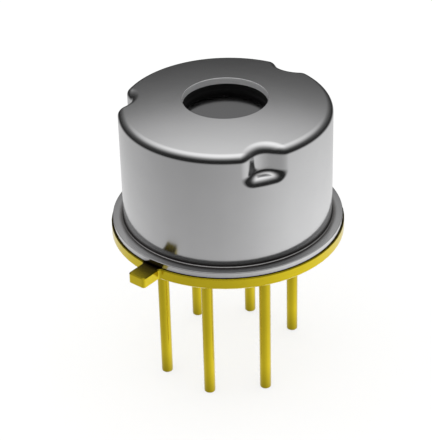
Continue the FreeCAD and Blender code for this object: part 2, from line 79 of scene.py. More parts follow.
# The photograph's view: its height in pixels, and the camera's tilt, roll, turn and place. The view was
# fitted to the middles of pixels, so the picture is shifted by half a pixel.
IMAGE_HEIGHT = 440
HALF_PIXEL = 0.5 / IMAGE_HEIGHT
SENSOR_WIDTH = 36.0
VIEW_TILT = math.radians(31.984)
VIEW_ROLL = math.radians(-1.5156)
VIEW_TURN = math.radians(17.72)
VIEW_PLACE = Vector((-0.45043, -58.00205, 35.97241)) * MM
VIEW_RISE = 0.45 * MM

# The studio in the metal. The brightness above is given by elevation in degrees, on the side away from
# the camera and on its own side. The brightness of the table under the horizon is given by direction in
# degrees, and falls off with elevation.
CARD_PEAK = 1.4
TABLE_PEAK = 1.6
FAR_SIDE = (
    (-14, 0.0), (0, 0.05), (9.7, 0.0875), (19.3, 0.142), (28, 0.25), (36.4, 0.53), (46.7, 0.83), (60, 1.1),
    (80, 1.3), (90, 1.3))
NEAR_SIDE = ((-14, 0.0), (-4, 0.03), (11, 0.022), (25, 0.055), (40, 0.22), (54, 0.51), (68, 0.95), (90, 1.3))
TABLE = (
    (0, 0.84), (30, 0.90), (50, 0.87), (90, 0.80), (124, 0.73), (158, 0.62), (182, 0.53), (204, 0.465),
    (230, 0.435), (258, 0.46), (280, 0.52), (295, 0.57), (319, 0.69), (345, 0.80), (360, 0.84))
TABLE_FALL = (
    (-90, 1.6), (-40, 1.5), (-32.7, 1.19), (-31, 1.0), (-29, 0.84), (-24, 0.6), (-19, 0.33), (-10, 0.0))

# The white round the sensor, how much of it the floor lets through, and the near-black colour of the shade
# painted into metal in its corners and at its edges.
WHITE_STRENGTH = 1.04
FLOOR_CLEARNESS = 0.72
PAINTED_SHADE_COLOUR = (0.02, 0.008, 0.0)


# The sizes and finishes that a user would change


def length_property(label, description, millimetres):
    return bpy.props.FloatProperty(
        name=label, description=description, default=millimetres * MM, min=0.0, subtype="DISTANCE",
        unit="LENGTH", precision=5)


def angle_property(label, description, degrees):
    return bpy.props.FloatProperty(
        name=label, description=description, default=math.radians(degrees), subtype="ANGLE", unit="ROTATION")


def colour_property(label, description, colour):
    return bpy.props.FloatVectorProperty(
        name=label, description=description, default=colour, min=0.0, max=1.0, subtype="COLOR")


def share_property(label, description, share):
    return bpy.props.FloatProperty(
        name=label, description=description, default=share, min=0.0, max=1.0, subtype="FACTOR")


class CanSizes(bpy.types.PropertyGroup):
    wall_radius: length_property("Wall radius", "Outside radius of the can's wall", 4.085)
    sheet: length_property("Sheet", "Thickness of the can's sheet", 0.25)
    crown_top: length_property(
        "Crown height", "Height of the crown's middle over the base's underside", 5.702)
    crown_radius: length_property("Crown radius", "Radius of the slightly domed top", 24.0)
    rim_round: length_property("Rim rounding", "Rounding of the rim and of the notches' edges", 0.32)
    aperture_radius: length_property("Aperture radius", "Radius of the round window opening", 1.63)
    lip_round: length_property("Lip rounding", "Rounding of the aperture's upper edge", 0.02)
    brim_radius: length_property("Brim radius", "Outside radius of the brim", 4.5)
    brim_bottom: length_property("Brim underside", "Height of the brim's underside", 0.48)
    brim_thick: length_property("Brim thickness", "Thickness of the brim", 0.21)
    brim_edge: length_property("Brim edge", "Rounding of the brim's upper edge", 0.02)
    foot_round: length_property("Foot rounding", "Rounding between the brim and the wall", 0.06)
    notch_depth: length_property("Notch depth", "How far a notch reaches inwards from the wall", 0.44)
    notch_floor: length_property("Notch floor", "Height of a notch's floor", 4.32)
    punch_radius: length_property("Punch radius", "Radius of the punch that presses a notch", 0.685)
    punch_nose: length_property("Punch nose", "Rounding of the punch's nose", 0.17)
    inner_round: length_property("Inner rounding", "Rounding of the rim inside the can", 0.05)
    notch_count: bpy.props.IntProperty(
        name="Notches", description="Notches pressed into the can's shoulder", default=3, min=1)
    first_notch: angle_property("First notch", "Direction of the first notch", 307.5)


class SensorSizes(bpy.types.PropertyGroup):
    window_turn: angle_property("Window turn", "Direction of a side of the square filter", 277.5)
    window_set: length_property("Window setting", "How far the filter's face lies deeper in its bond", 0.09)
    window_edge: length_property("Window edge", "Bevel of the filter's edges", 0.02)
    bond_width: length_property("Bond width", "Width of the ring of epoxy", 0.42)
    tip_round: length_property("Lead tip rounding", "Rounding of a lead's cut end", 0.06)
    lead_sides: bpy.props.IntProperty(
        name="Lead sides", description="Sides of a lead's round section", default=64, min=12)
    meniscus: length_property("Meniscus", "How far glass climbs the metal at a seal's rim", 0.03)


class SensorFinishes(bpy.types.PropertyGroup):
    nickel: colour_property("Nickel", "Colour of the can", (0.66, 0.66, 0.665))
    nickel_roughness: share_property("Nickel roughness", "Roughness of the can", 0.16)
    gold: colour_property("Gold", "Colour of the plated base and leads", (0.76, 0.60, 0.026))
    gold_roughness: share_property("Gold roughness", "Roughness of the plated base and leads", 0.19)
    window: colour_property("Window", "Colour of the coated filter", (0.40, 0.40, 0.405))


class StageSettings(bpy.types.PropertyGroup):
    floor: colour_property("Floor", "Colour of the floor", (0.98, 0.98, 0.98))
    floor_radius: bpy.props.FloatProperty(
        name="Floor radius", description="How far the floor reaches", subtype="DISTANCE", unit="LENGTH",
        default=0.6, min=0.01)
    focal_pixels: bpy.props.FloatProperty(
        name="Focal length", description="Focal length of the view, in image pixels", subtype="PIXEL",
        default=1737.29, min=1.0)


# Nodes


def add_node(tree, kind, place, **settings):
    node = tree.nodes.new(kind)
    node.location = place
    for name, value in settings.items():
        setattr(node, name, value)
    return node


def math_node(tree, operation, place, first, second=None):
    """A Math node whose inputs are sockets or numbers."""
    node = add_node(tree, "ShaderNodeMath", place, operation=operation)
    for index, value in enumerate((first, second)):
        if value is None:
            continue
        if isinstance(value, (int, float)):
            node.inputs[index].default_value = value
        else:
            tree.links.new(value, node.inputs[index])
    return node.outputs[0]


def ramp_node(tree, place, position, stops):
    """A Color Ramp of greys over the given position."""
    node = add_node(tree, "ShaderNodeValToRGB", place)
    elements = node.color_ramp.elements
    while len(elements) > 1:
        elements.remove(elements[-1])
    for index, (where, grey) in enumerate(stops):
        element = elements[0] if index == 0 else elements.new(where)
        element.position = where
        element.color = (grey, grey, grey, 1.0)
    tree.links.new(position, node.inputs[0])
    return node.outputs[0]


def elevation_stops(rows, peak):
    """Ramp stops for elevations in degrees, as shares of the peak."""
    return [((angle + 90) / 180, share / peak) for angle, share in rows]


def new_group(name, inputs, outputs):
    """A shader node group with named sockets, given as (name, type, default)."""
    group = bpy.data.node_groups.new(name, "ShaderNodeTree")
    for label, kind, default in inputs:
        socket = group.interface.new_socket(name=label, in_out="INPUT", socket_type=kind)
        if default is not None:
            socket.default_value = default
    for label, kind in outputs:
        group.interface.new_socket(name=label, in_out="OUTPUT", socket_type=kind)
    return group


def satin_group():
    """Plated metal's fine lines and cloudy patches: a roughness, a height and a mask."""
    name = "plated_surface"
    if name in bpy.data.node_groups:
        return bpy.data.node_groups[name]
    group = new_group(
        name,
        [("Vector", "NodeSocketVector", None), ("Patch scale", "NodeSocketFloat", 900.0),
         ("Line stretch", "NodeSocketVector", (600.0, 600.0, 24000.0)),
         ("Lowest roughness", "NodeSocketFloat", 0.14), ("Highest roughness", "NodeSocketFloat", 0.18)],
        [("Roughness", "NodeSocketFloat"), ("Height", "NodeSocketFloat"), ("Mask", "NodeSocketFloat")])
    ends = add_node(group, "NodeGroupInput", (-900, 0))
    out = add_node(group, "NodeGroupOutput", (700, 0))
    patches = add_node(group, "ShaderNodeTexNoise", (-600, 200))
    patches.inputs["Detail"].default_value = 3.0
    group.links.new(ends.outputs["Vector"], patches.inputs["Vector"])
    group.links.new(ends.outputs["Patch scale"], patches.inputs["Scale"])
    stretched = add_node(group, "ShaderNodeVectorMath", (-750, -200), operation="MULTIPLY")
    group.links.new(ends.outputs["Vector"], stretched.inputs[0])
    group.links.new(ends.outputs["Line stretch"], stretched.inputs[1])
    lines = add_node(group, "ShaderNodeTexNoise", (-600, -200))
    lines.inputs["Scale"].default_value = 1.0
    lines.inputs["Detail"].default_value = 2.0
    group.links.new(stretched.outputs[0], lines.inputs["Vector"])
    cloudy = math_node(group, "MULTIPLY", (-450, 100), patches.outputs["Fac"], 0.4)
    height = math_node(group, "ADD", (-300, -100), cloudy, lines.outputs["Fac"])
    mask = add_node(group, "ShaderNodeMapRange", (-200, 250))
    group.links.new(patches.outputs["Fac"], mask.inputs["Value"])
    mask.inputs["From Min"].default_value = 0.35
    mask.inputs["From Max"].default_value = 0.65
    rough = add_node(group, "ShaderNodeMapRange", (100, 0))
    group.links.new(height, rough.inputs["Value"])
    rough.inputs["From Min"].default_value = 0.45
    rough.inputs["From Max"].default_value = 0.95
    group.links.new(ends.outputs["Lowest roughness"], rough.inputs["To Min"])
    group.links.new(ends.outputs["Highest roughness"], rough.inputs["To Max"])
    group.links.new(rough.outputs["Result"], out.inputs["Roughness"])
    group.links.new(height, out.inputs["Height"])
    group.links.new(mask.outputs["Result"], out.inputs["Mask"])
    return group


def speckle_group():
    """A fine speckle: a mask, which is also its height."""
    name = "fine_speckle"
    if name in bpy.data.node_groups:
        return bpy.data.node_groups[name]
    group = new_group(
        name, [("Vector", "NodeSocketVector", None), ("Scale", "NodeSocketFloat", 3000.0)],
        [("Mask", "NodeSocketFloat")])
    ends = add_node(group, "NodeGroupInput", (-400, 0))
    out = add_node(group, "NodeGroupOutput", (200, 0))
    noise = add_node(group, "ShaderNodeTexNoise", (-150, 0))
    noise.inputs["Detail"].default_value = 4.0
    group.links.new(ends.outputs["Vector"], noise.inputs["Vector"])
    group.links.new(ends.outputs["Scale"], noise.inputs["Scale"])
    group.links.new(noise.outputs["Fac"], out.inputs["Mask"])
    return group


def corner_group():
    """How much of its colour a plated metal keeps where shade is painted into its corners and at its
    outline's edges.
    """
    name = "corner_shade"
    if name in bpy.data.node_groups:
        return bpy.data.node_groups[name]
    group = new_group(
        name,
        [("Normal", "NodeSocketVector", None), ("Facing", "NodeSocketFloat", 0.0),
         ("Reach", "NodeSocketFloat", MM), ("Strength", "NodeSocketFloat", 1.0),
         ("Edge shade", "NodeSocketFloat", 0.0), ("Sides too", "NodeSocketFloat", 1.0)],
        [("Kept", "NodeSocketFloat")])
    ends = add_node(group, "NodeGroupInput", (-900, 0))
    out = add_node(group, "NodeGroupOutput", (700, 0))
    corners = add_node(group, "ShaderNodeAmbientOcclusion", (-600, 200), samples=8)
    group.links.new(ends.outputs["Reach"], corners.inputs["Distance"])
    opened = math_node(group, "POWER", (-400, 200), corners.outputs["AO"], ends.outputs["Strength"])
    closed = math_node(group, "SUBTRACT", (-200, 200), 1.0, opened)
    parts = add_node(group, "ShaderNodeSeparateXYZ", (-600, -100))
    group.links.new(ends.outputs["Normal"], parts.inputs[0])
    level = math_node(group, "MAXIMUM", (-400, -100), parts.outputs[2], ends.outputs["Sides too"])
    shaded = math_node(group, "MULTIPLY", (0, 100), closed, level)
    edge = math_node(group, "MULTIPLY", (-200, -300), ends.outputs["Facing"], ends.outputs["Edge shade"])
    lit = [math_node(group, "SUBTRACT", (200, 0), 1.0, share) for share in (shaded, edge)]
    group.links.new(math_node(group, "MULTIPLY", (450, 0), *lit), out.inputs["Kept"])
    return group


def start_material(name):
    """A new material with a Principled BSDF, and Object coordinates."""
    material = bpy.data.materials.new(name)
    material.use_nodes = True
    tree = material.node_tree
    tree.nodes.clear()
    output = add_node(tree, "ShaderNodeOutputMaterial", (600, 0))
    surface = add_node(tree, "ShaderNodeBsdfPrincipled", (300, 0))
    tree.links.new(surface.outputs[0], output.inputs["Surface"])
    where = add_node(tree, "ShaderNodeTexCoord", (-900, 0))
    return material, tree, surface, where.outputs["Object"]


def surface_of(material):
    """A material's Principled BSDF."""
    return next(node for node in material.node_tree.nodes if node.type == "BSDF_PRINCIPLED")


def mixed_colour(tree, mask, first, second):
    """A blend of two colours, each given as values or as a socket."""
    mix = add_node(tree, "ShaderNodeMix", (0, 250), data_type="RGBA")
    for index, colour in ((6, first), (7, second)):
        if isinstance(colour, tuple):
            mix.inputs[index].default_value = (*colour, 1.0)
        else:
            tree.links.new(colour, mix.inputs[index])
    tree.links.new(mask, mix.inputs[0])
    return mix.outputs[2]


def plated_metal(name, colour, roughness, spread, lines, bump, darker=0.94):
    """A plated metal with fine drawing lines and cloudy patches in its gloss and colour."""
    material, tree, surface, where = start_material(name)
    group = add_node(tree, "ShaderNodeGroup", (-400, 0), node_tree=satin_group())
    tree.links.new(where, group.inputs["Vector"])
    group.inputs["Line stretch"].default_value = lines
    group.inputs["Lowest roughness"].default_value = roughness - spread
    group.inputs["Highest roughness"].default_value = roughness + spread
    dark = tuple(darker * value for value in colour)
    tree.links.new(mixed_colour(tree, group.outputs["Mask"], dark, colour), surface.inputs["Base Color"])
    tree.links.new(group.outputs["Roughness"], surface.inputs["Roughness"])
    surface.inputs["Metallic"].default_value = 1.0
    relief = add_node(tree, "ShaderNodeBump", (0, -250))
    relief.inputs["Strength"].default_value = 1.0
    relief.inputs["Distance"].default_value = bump
    tree.links.new(group.outputs["Height"], relief.inputs["Height"])
    tree.links.new(relief.outputs[0], surface.inputs["Normal"])
    return material


def shade_corners(material, reach, strength, edge_shade=0.0, level_only=False):
    """Paints shade into a plated metal's colour in its corners, on all or only its level faces, and at its
    outline's edges.
    """
    tree = material.node_tree
    surface = surface_of(material)
    plated = surface.inputs["Base Color"].links[0].from_socket
    where = add_node(tree, "ShaderNodeTexCoord", (-600, 500))
    facing = add_node(tree, "ShaderNodeLayerWeight", (-600, 700))
    facing.inputs["Blend"].default_value = 0.5
    shade = add_node(tree, "ShaderNodeGroup", (-300, 600), node_tree=corner_group())
    tree.links.new(where.outputs["Normal"], shade.inputs["Normal"])
    tree.links.new(facing.outputs["Facing"], shade.inputs["Facing"])
    shade.inputs["Reach"].default_value = reach
    shade.inputs["Strength"].default_value = strength
    shade.inputs["Edge shade"].default_value = edge_shade
    shade.inputs["Sides too"].default_value = 0.0 if level_only else 1.0
    # Painted shade: the metal's colour fades to near-black where its corners and outline's edges are shaded.
    shaded = mixed_colour(tree, shade.outputs["Kept"], PAINTED_SHADE_COLOUR, plated)
    tree.links.new(shaded, surface.inputs["Base Color"])


def speckled(name, first, second, roughness, scale, bump=0.0, metallic=0.0, coat=0.0, specular=0.5):
    """A plain substance with a fine speckle in its colour and surface."""
    material, tree, surface, where = start_material(name)
    speckle = add_node(tree, "ShaderNodeGroup", (-500, 0), node_tree=speckle_group())
    speckle.inputs["Scale"].default_value = scale
    tree.links.new(where, speckle.inputs["Vector"])
    speckles = mixed_colour(tree, speckle.outputs["Mask"], first, second)
    tree.links.new(speckles, surface.inputs["Base Color"])
    surface.inputs["Roughness"].default_value = roughness
    surface.inputs["Metallic"].default_value = metallic
    surface.inputs["Coat Weight"].default_value = coat
    surface.inputs["Specular IOR Level"].default_value = specular
    if bump:
        relief = add_node(tree, "ShaderNodeBump", (0, -250))
        relief.inputs["Distance"].default_value = bump
        tree.links.new(speckle.outputs["Mask"], relief.inputs["Height"])
        tree.links.new(relief.outputs[0], surface.inputs["Normal"])
    return material


# Meshes


def turned_mesh(name, outline, sides, closed=False):
    """A surface of revolution from (radius, height) pairs that run up its outside."""
    form = bmesh.new()
    rings = []
    for radius, height in outline:
        if radius == 0:
            rings.append([form.verts.new((0, 0, height))])
            continue
        ring = []
        for side in range(sides):
            angle = 2 * math.pi * side / sides
            ring.append(form.verts.new((radius * math.cos(angle), radius * math.sin(angle), height)))
        rings.append(ring)
    pairs = list(zip(rings, rings[1:]))
    if closed:
        pairs.append((rings[-1], rings[0]))
    for low, high in pairs:
        for side in range(sides):
            after = (side + 1) % sides
            corners = (
                low[side % len(low)], low[after % len(low)], high[after % len(high)], high[side % len(high)])
            form.faces.new(list(dict.fromkeys(corners)))
    mesh = bpy.data.meshes.new(name)
    form.to_mesh(mesh)
    form.free()
    mesh.shade_smooth()
    mesh.set_sharp_from_angle(angle=math.radians(40))
    return mesh


def plain_form(radius, height, can, shift, ball):
    """Signed distance to the can's section without notches, its rim rounded."""
    wall_radius = can.wall_radius - shift
    crown_radius = can.crown_radius - shift
    centre = can.crown_top - can.crown_radius
    ball_radius = wall_radius - ball
    ball_height = centre + math.sqrt((crown_radius - ball) ** 2 - ball_radius ** 2)
    lean = math.atan2(ball_radius, ball_height - centre)
    sides = np.maximum(radius - wall_radius, np.hypot(radius, height - centre) - crown_radius)
    out, up = radius - ball_radius, height - ball_height
    at_rim = (up > 0) & (out * math.cos(lean) - up * math.sin(lean) > 0)
    return np.where(at_rim, np.hypot(out, up) - ball, sides)


def pressed_form(radius, turn, height, can, shift, ball):
    """Signed distance to the notched can, or to the room inside it at a shift inwards."""
    place = can.wall_radius - can.notch_depth + can.punch_radius
    nose = can.punch_nose + shift
    across = np.hypot(radius * np.cos(turn) - place, radius * np.sin(turn)) - can.punch_radius - shift + nose
    below = can.notch_floor - shift - height + nose
    corner = np.hypot(np.maximum(across, 0), np.maximum(below, 0))
    punch = np.minimum(np.maximum(across, below), 0) + corner - nose
    plain = plain_form(radius, height, can, shift, ball)
    both = np.hypot(np.maximum(plain + ball, 0), np.maximum(ball - punch, 0)) - ball
    return np.where((plain > -ball) & (punch < ball), both, np.maximum(plain, -punch))


def can_turns(can, reach=math.radians(15), fine_steps=100, coarse_steps=42):
    """Directions round the can, counted from its first notch and close together at the notches."""
    share = 2 * math.pi / can.notch_count
    fine = np.linspace(-reach, reach, fine_steps)
    one = np.concatenate((fine, np.linspace(reach, share - reach, coarse_steps)[1:-1]))
    return np.concatenate([one + share * index for index in range(can.notch_count)])


def pressed_rows(turns, rises, can, shift, ball, halvings=36):
    """Rings of points on the notched form, found by halving along rays from the base's middle."""
    share = 2 * math.pi / can.notch_count
    rise, turn = np.meshgrid(np.radians(rises), (turns + share / 2) % share - share / 2, indexing="ij")
    near = np.full(rise.shape, 3.0 * MM)
    far = np.full(rise.shape, 9.0 * MM)
    for _ in range(halvings):
        middle = (near + far) / 2
        outside = pressed_form(middle * np.cos(rise), turn, middle * np.sin(rise), can, shift, ball) > 0
        far = np.where(outside, middle, far)
        near = np.where(outside, near, middle)
    return list(zip(near * np.cos(rise), near * np.sin(rise)))


def arc_points(centre, size, start, end, steps):
    """Points of an arc in a section, between two angles in degrees."""
    angles = [math.radians(start + (end - start) * step / steps) for step in range(steps + 1)]
    return [(centre[0] + size * math.cos(angle), centre[1] + size * math.sin(angle)) for angle in angles]


def can_rows(can, turns):
    """Rings round the whole skin: up its outside, through the aperture and down its inside."""
    centre = can.crown_top - can.crown_radius

    def crown(radius, depth=0.0):
        return centre + math.sqrt((can.crown_radius - depth) ** 2 - radius ** 2)

    # the brim, its edge and its foot
    brim_top = can.brim_bottom + can.brim_thick
    foot, edge, wall = can.foot_round, can.brim_edge, can.wall_radius
    rows = [(wall, can.brim_bottom), (can.brim_radius - edge / 4, can.brim_bottom)]
    rows += [(can.brim_radius, can.brim_bottom + edge / 4), (can.brim_radius, brim_top - 2 * edge)]
    rows += arc_points((can.brim_radius - edge, brim_top - edge), edge, 0, 90, 6)
    rows += [(wall + foot + 2 * edge, brim_top), (wall + foot + edge / 4, brim_top)]
    rows += arc_points((wall + foot, brim_top + foot), foot, 270, 180, 12)

    # the wall, and the shoulder with its rim and notches
    rows += [(wall, height * MM) for height in (0.84, 0.90, 1.0, 1.3, 1.8, 2.4, 2.9)]
    rises = np.concatenate((
        np.linspace(38, 43.5, 8), np.linspace(43.64, 58.6, 108), np.linspace(59, 63, 8)))
    pressed = pressed_rows(turns, rises, can, 0.0, can.rim_round)
    rows += pressed

    # the crown and the aperture
    lip, opening = can.lip_round, can.aperture_radius
    radii = np.linspace(pressed[-1][0].max(), opening + 1.5 * lip, 18)[1:]
    rows += [(radius, crown(radius)) for radius in radii]
    rows += arc_points((opening + lip, crown(opening + lip) - lip), lip, 90, 180, 4)
    ceiling = crown(opening, can.sheet)
    rows += [(opening, ceiling + can.sheet * share) for share in (0.6, 0.3, 0.0)]

    # the inside, back down to the brim
    rows += [(radius * MM, crown(radius * MM, can.sheet)) for radius in (1.9, 2.3)]
    rises = np.concatenate((np.linspace(62, 44, 40), np.linspace(43, 38, 4)))
    rows += pressed_rows(turns, rises, can, can.sheet, can.inner_round)
    bore = wall - can.sheet
    rows += [(bore, 1.6 * MM), (bore, can.brim_bottom + can.sheet)]
    return rows


def can_mesh(can):
    """The drawn can as one closed skin, with a mask on the aperture's cut edge."""
    turns = can_turns(can)
    rows = can_rows(can, turns)
    directions = turns + can.first_notch
    points = np.empty((len(rows), len(turns), 3))
    for index, (radius, height) in enumerate(rows):
        points[index, :, 0] = radius * np.cos(directions)
        points[index, :, 1] = radius * np.sin(directions)
        points[index, :, 2] = height
    numbers = np.arange(points.shape[0] * points.shape[1]).reshape(points.shape[:2])
    after = np.roll(numbers, -1, axis=1)
    faces = np.stack((numbers, after, np.roll(after, -1, axis=0), np.roll(numbers, -1, axis=0)), axis=-1)
    mesh = bpy.data.meshes.new("can")
    mesh.from_pydata(points.reshape(-1, 3).tolist(), [], faces.reshape(-1, 4).tolist())
    mesh.shade_smooth()
    mesh.set_sharp_from_angle(angle=math.radians(35))
    radius = np.hypot(points[..., 0], points[..., 1]).ravel()
    cut = (radius < can.aperture_radius + can.lip_round / 2).astype(np.float32)
    mesh.attributes.new("cut_edge", "FLOAT", "POINT").data.foreach_set("value", cut)
    return mesh


def quarter_round(radius, height, size, from_below, steps=6):
    """Points of a rounded rim that turns from level to upright, or back."""
    points = []
    for step in range(steps + 1):
        angle = math.pi / 2 * step / steps
        if from_below:
            points.append((radius - size + size * math.sin(angle), height + size - size * math.cos(angle)))
        else:
            points.append((radius - size + size * math.cos(angle), height - size + size * math.sin(angle)))
    return points


def ring_tree():
    """Geometry nodes that set copies of a piece on chosen places of a circle."""
    tree = bpy.data.node_groups.new("places_on_a_circle", "GeometryNodeTree")
    sockets = (
        ("Piece", "NodeSocketGeometry"), ("Count", "NodeSocketInt"), ("Circle radius", "NodeSocketFloat"),
        ("Step", "NodeSocketFloat"), ("First gap after", "NodeSocketFloat"),
        ("Places skipped", "NodeSocketFloat"), ("Finish", "NodeSocketMaterial"))
    for label, kind in sockets:
        tree.interface.new_socket(name=label, in_out="INPUT", socket_type=kind)
    tree.interface.new_socket(name="Pieces", in_out="OUTPUT", socket_type="NodeSocketGeometry")
    given = add_node(tree, "NodeGroupInput", (-900, 0))
    out = add_node(tree, "NodeGroupOutput", (900, 0))
    index = add_node(tree, "GeometryNodeInputIndex", (-900, -300))
    beyond = math_node(tree, "GREATER_THAN", (-700, -300), index.outputs[0], given.outputs["First gap after"])
    skipped = math_node(tree, "MULTIPLY", (-550, -300), beyond, given.outputs["Places skipped"])
    first = math_node(tree, "ADD", (-550, -450), index.outputs[0], 1.0)
    place = math_node(tree, "ADD", (-400, -300), first, skipped)
    angle = math_node(tree, "MULTIPLY", (-250, -300), place, given.outputs["Step"])
    where = add_node(tree, "ShaderNodeCombineXYZ", (100, -300))
    for axis, operation in enumerate(("COSINE", "SINE")):
        part = math_node(tree, operation, (-100, -300 - 150 * axis), angle)
        reach = math_node(tree, "MULTIPLY", (0, -300 - 150 * axis), part, given.outputs["Circle radius"])
        tree.links.new(reach, where.inputs[axis])
    points = add_node(tree, "GeometryNodePoints", (250, 0))
    tree.links.new(given.outputs["Count"], points.inputs["Count"])
    tree.links.new(where.outputs[0], points.inputs["Position"])
    copies = add_node(tree, "GeometryNodeInstanceOnPoints", (450, 0))
    tree.links.new(points.outputs[0], copies.inputs["Points"])
    tree.links.new(given.outputs["Piece"], copies.inputs["Instance"])
    real = add_node(tree, "GeometryNodeRealizeInstances", (600, 0))
    tree.links.new(copies.outputs[0], real.inputs[0])
    finish = add_node(tree, "GeometryNodeSetMaterial", (750, 0))
    tree.links.new(real.outputs[0], finish.inputs["Geometry"])
    tree.links.new(given.outputs["Finish"], finish.inputs["Material"])
    tree.links.new(finish.outputs[0], out.inputs[0])
    return tree


def grown(tree, seed_mesh, values):
    """Runs a geometry node tree on a mesh and returns the result as a plain mesh."""
    seed = bpy.data.objects.new("seed", seed_mesh)
    bpy.context.scene.collection.objects.link(seed)
    modifier = seed.modifiers.new("grow", "NODES")
    modifier.node_group = tree
    for item in tree.interface.items_tree:
        if item.item_type == "SOCKET" and item.in_out == "INPUT" and item.name in values:
            modifier[item.identifier] = values[item.name]
    depsgraph = bpy.context.evaluated_depsgraph_get()
    mesh = bpy.data.meshes.new_from_object(seed.evaluated_get(depsgraph))
    seed.modifiers.remove(modifier)
    bpy.data.objects.remove(seed)
    return mesh


def add_piece(name, mesh, nodes):
    """A piece that rides on the sensor and stands for CAD nodes."""
    if not mesh.polygons:
        raise RuntimeError(name + " came out empty")
    mesh.name = name
    piece = bpy.data.objects.new(name, mesh)
    bpy.context.scene.collection.objects.link(piece)
    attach(piece, "root")
    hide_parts(*nodes)
    return piece


def dress(node_name, material):
    """Gives a CAD node its material."""
    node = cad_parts[node_name]
    if not node.material_slots:
        raise RuntimeError(node_name + " has no material slot")
    for place in node.material_slots:
        place.material = material


def box_sizes(node_name):
    """The middle of a CAD node's box, and its lowest and highest corners."""
    low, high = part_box(node_name)
    return (low + high) / 2, low, high


# Operators


class SENSOR_OT_can(bpy.types.Operator):
    """Finishes the drawn can in satin nickel"""

    bl_idname = "sensor.can"
    bl_label = "Can"

    def execute(self, context):
        look = context.scene.sensor_finishes
        nickel = plated_metal(
            "satin_nickel", tuple(look.nickel), look.nickel_roughness, spread=0.01,
            lines=(500.0, 500.0, 26000.0), bump=0.00005 * MM, darker=0.98)
        self.cut_edge(nickel)
        # Painted shade: the can's colour darkens in its corners, at the foot and round the notches.
        shade_corners(nickel, reach=0.22 * MM, strength=3.5)
        mesh = can_mesh(context.scene.can_sizes)
        mesh.materials.append(nickel)
        add_piece("can", mesh, ["cap"])
        return {"FINISHED"}

    def cut_edge(self, material):
        """Makes the aperture's cut edge rough, and partly matt only to the camera, which paints light onto
        it, and near-black to every other ray, which paints a dark reflection of it into the window.
        """
        tree = material.node_tree
        surface = surface_of(material)
        satin = surface.inputs["Roughness"].links[0].from_socket
        plated = surface.inputs["Base Color"].links[0].from_socket
        mark = add_node(tree, "ShaderNodeAttribute", (-600, -500), attribute_name="cut_edge")
        path = add_node(tree, "ShaderNodeLightPath", (-600, -700))
        seen = math_node(tree, "MULTIPLY", (-350, -500), mark.outputs["Fac"], path.outputs["Is Camera Ray"])
        painted_dark_mask = math_node(tree, "SUBTRACT", (-350, -700), mark.outputs["Fac"], seen)
        matt = math_node(tree, "MULTIPLY", (-50, -500), seen, 0.6)
        tree.links.new(math_node(tree, "MAXIMUM", (100, -400), satin, matt), surface.inputs["Roughness"])
        # Painted light: only to the camera, the cut edge is partly matt and takes up the white around it.
        painted_light_share = math_node(tree, "MULTIPLY", (-50, -700), seen, 0.36)
        tree.links.new(math_node(tree, "SUBTRACT", (100, -600), 1.0, painted_light_share), surface.inputs["Metallic"])
        # Painted dark reflection: for every ray but the camera's, the cut edge is near-black, so the window
        # reflects it as black.
        shaded = mixed_colour(tree, painted_dark_mask, plated, (0.004, 0.004, 0.004))
        tree.links.new(shaded, surface.inputs["Base Color"])


class SENSOR_OT_base(bpy.types.Operator):
    """Finishes the base in gold plating, and its brazed recess"""

    bl_idname = "sensor.base"
    bl_label = "Base"

    def execute(self, context):
        look = context.scene.sensor_finishes
        gold = plated_metal(
            "gold_plated_base", tuple(look.gold), look.gold_roughness, spread=0.04,
            lines=(900.0, 900.0, 9000.0), bump=0.0003 * MM)
        # Painted shade: the base's level faces darken near the can, as on the tab's top by the brim, and its
        # outline's edges darken a little.
        shade_corners(gold, reach=1.5 * MM, strength=10.0, edge_shade=0.1, level_only=True)
        dress("header_base", gold)
        dress("ground_braze", plated_metal(
            "braze", (0.80, 0.66, 0.20), 0.42, spread=0.08, lines=(5000.0, 5000.0, 5000.0), bump=0.004 * MM))
        return {"FINISHED"}


class SENSOR_OT_leads(bpy.types.Operator):
    """Makes the round leads with rounded tips"""

    bl_idname = "sensor.leads"
    bl_label = "Leads"

    def execute(self, context):
        look = context.scene.sensor_finishes
        sizes = context.scene.sensor_sizes
        gold = plated_metal(
            "gold_plated_leads", tuple(look.gold), look.gold_roughness, spread=0.04,
            lines=(9000.0, 9000.0, 500.0), bump=0.0003 * MM)
        # Painted shade: the leads darken near the base and along their outline's edges.
        shade_corners(gold, reach=1.2 * MM, strength=0.8, edge_shade=0.5)
        middle, low, high = box_sizes("lead_1")
        radius = (high.x - low.x) / 2
        circle = math.hypot(middle.x, middle.y)
        mesh = self.lead_mesh(radius, low.z, high.z, sizes)
        leads = grown(ring_tree(), mesh, {**RING, "Circle radius": circle, "Finish": gold})
        add_piece("sealed_leads", leads, ["lead_" + number for number in SEALED])
        middle, low, high = box_sizes("lead_4")
        mesh = self.lead_mesh(radius, low.z, high.z, sizes)
        mesh.transform(Matrix.Translation((middle.x, middle.y, 0)))
        mesh.materials.append(gold)
        add_piece("ground_lead", mesh, ["lead_4"])
        return {"FINISHED"}

    def lead_mesh(self, radius, bottom, top, sizes):
        outline = [(0, bottom)]
        outline += quarter_round(radius, bottom, sizes.tip_round, True)
        outline += [(radius, bottom / 2), (radius, 0.0)]
        outline += quarter_round(radius, top, sizes.tip_round / 2, False, 3)
        outline += [(0, top)]
        return turned_mesh("lead", outline, sizes.lead_sides)


